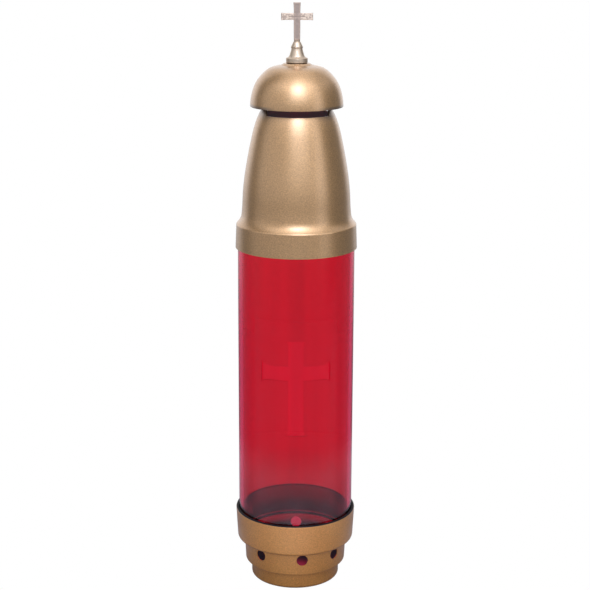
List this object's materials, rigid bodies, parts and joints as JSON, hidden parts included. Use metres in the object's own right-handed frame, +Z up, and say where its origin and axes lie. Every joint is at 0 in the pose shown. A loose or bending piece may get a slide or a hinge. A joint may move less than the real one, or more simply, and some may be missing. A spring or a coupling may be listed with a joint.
{
  "type": "sanctuary lamp",
  "caption": "Sanctuary lamp: stepped, vented gold base, ruby glass globe with a cross, and a lift-off ogive hood with a bell-shaped cap and a cross finial.",
  "frame": {"origin": "on the ground, under the centre of the base", "axes": "+Z up the lamp's axis; -Y is the front, where the cross in the globe faces; +X is the right of someone who looks at the front"},
  "size_m": [0.0936, 0.0936, 0.45],
  "materials": {
    "base_gold": "satin metallic gold paint outside, black inside",
    "hood_gold": "satin metallic gold paint",
    "ruby_glass": "clear ruby glass, polished",
    "rubber": "matt black rubber",
    "spring_steel": "blued spring steel strip",
    "zinc_steel": "zinc-plated steel",
    "finial_brass": "cast brass with a pale rose-grey lacquer"
  },
  "bodies": {
    "base": {"base_shell": "base_gold", "foot_pad": "rubber", "globe_seat": "rubber", "rim_gasket": "rubber"},
    "globe": {"globe": "ruby_glass"},
    "hood": {"hood_shell": "hood_gold", "hood_gasket": "rubber", "retainer_spring_1": "spring_steel", "retainer_spring_2": "spring_steel", "retainer_spring_3": "spring_steel", "crown_washer": "zinc_steel", "crown_lock_washer": "zinc_steel", "crown_nut": "zinc_steel", "cap_stud": "zinc_steel", "cap_spacer": "zinc_steel", "cap_washer": "zinc_steel", "dome_cap": "hood_gold", "seal_washer": "rubber", "finial_bell": "finial_brass", "finial_ferrule": "finial_brass", "finial_cross": "finial_brass"}
  },
  "joints": [
    {"name": "globe_lift", "type": "slide", "parent": "base", "child": "globe", "axis": [0, 0, 1], "range_m": [0, 0.06]},
    {"name": "hood_lift", "type": "slide", "parent": "globe", "child": "hood", "axis": [0, 0, 1], "range_m": [0, 0.06]}
  ]
}
